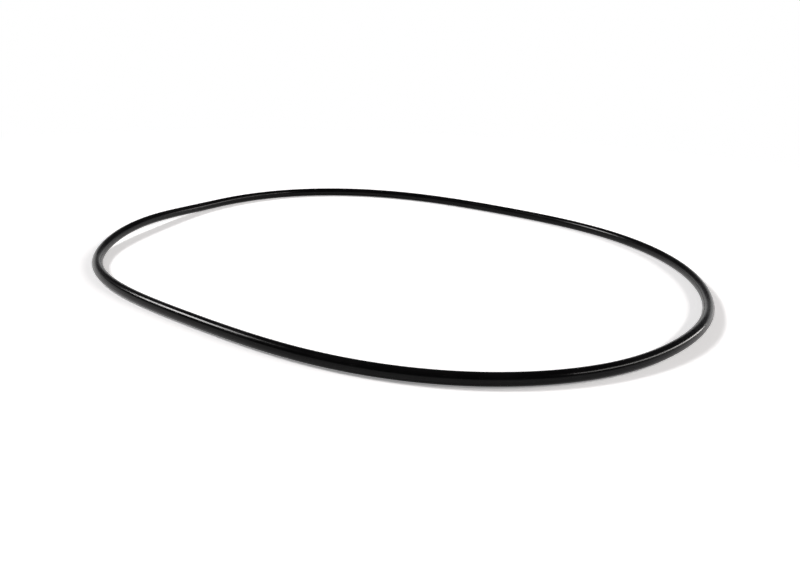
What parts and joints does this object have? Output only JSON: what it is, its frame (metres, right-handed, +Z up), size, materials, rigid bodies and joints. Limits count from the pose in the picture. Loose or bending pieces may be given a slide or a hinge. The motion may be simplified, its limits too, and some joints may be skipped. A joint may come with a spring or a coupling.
{
  "type": "rubber o-ring",
  "caption": "Thin black rubber o-ring with a round section that seals between two parts, lying relaxed and a little out of round.",
  "frame": {"origin": "under the middle of the ring's bounding box, on the surface it lies on", "axes": "+Z up from the surface, +X to the right as the picture shows the ring, +Y away to the back"},
  "size_m": [0.2104, 0.2276, 0.0052],
  "materials": {
    "rubber": "satin"
  },
  "bodies": {
    "root": {"o_ring": "rubber"}
  },
  "joints": []
}
